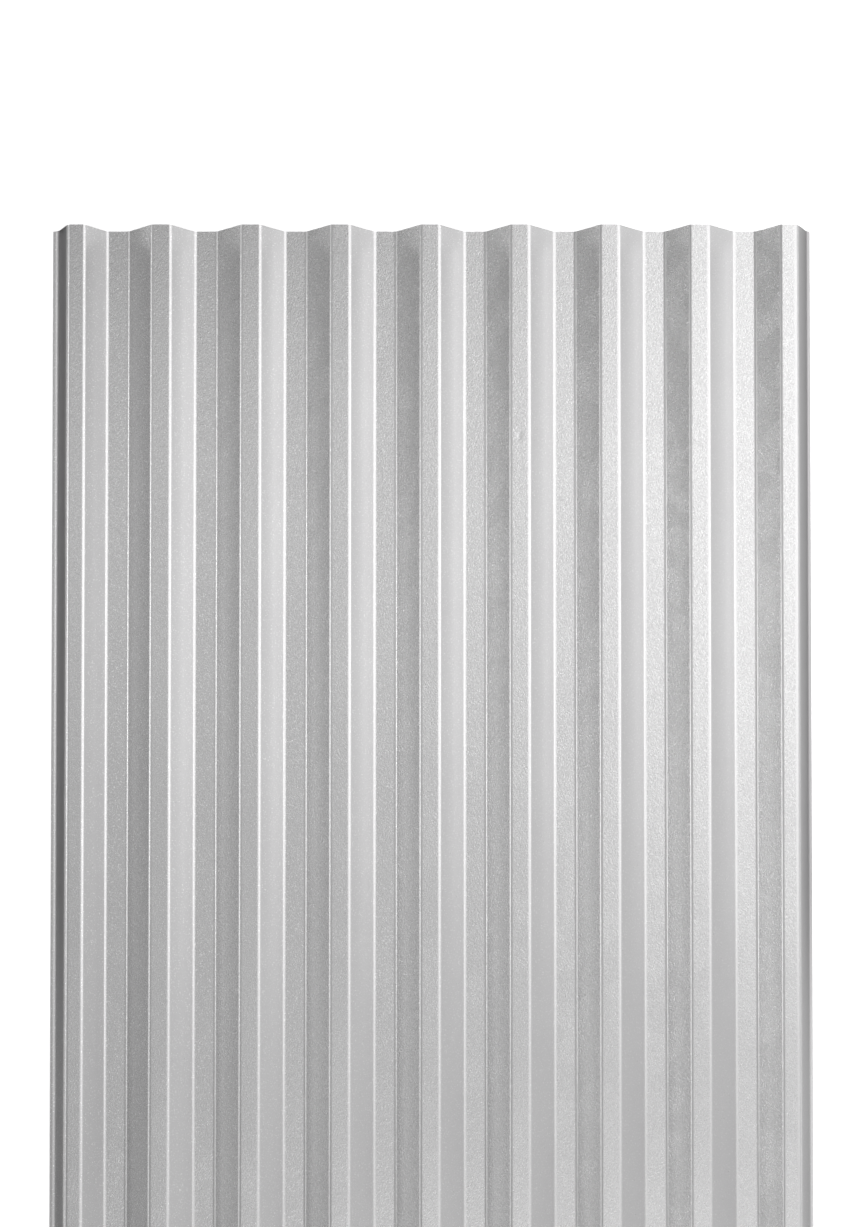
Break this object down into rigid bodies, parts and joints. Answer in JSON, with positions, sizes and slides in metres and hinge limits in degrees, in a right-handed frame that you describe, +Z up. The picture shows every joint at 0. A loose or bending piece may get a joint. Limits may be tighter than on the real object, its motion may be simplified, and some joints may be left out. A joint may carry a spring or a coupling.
{
  "type": "corrugated metal sheet",
  "caption": "Rolled metal sheet with flat-topped corrugations along its length, for roofing, cladding, fencing or formwork.",
  "frame": {"origin": "on the floor under the middle of the sheet", "axes": "+Y along the folds, +X across the waves towards the narrow lip, +Z up out of the crests"},
  "size_m": [0.6412, 2, 0.018],
  "materials": {
    "zinc_coated_steel": "satin"
  },
  "bodies": {
    "root": {"corrugated_sheet": "zinc_coated_steel"}
  },
  "joints": []
}
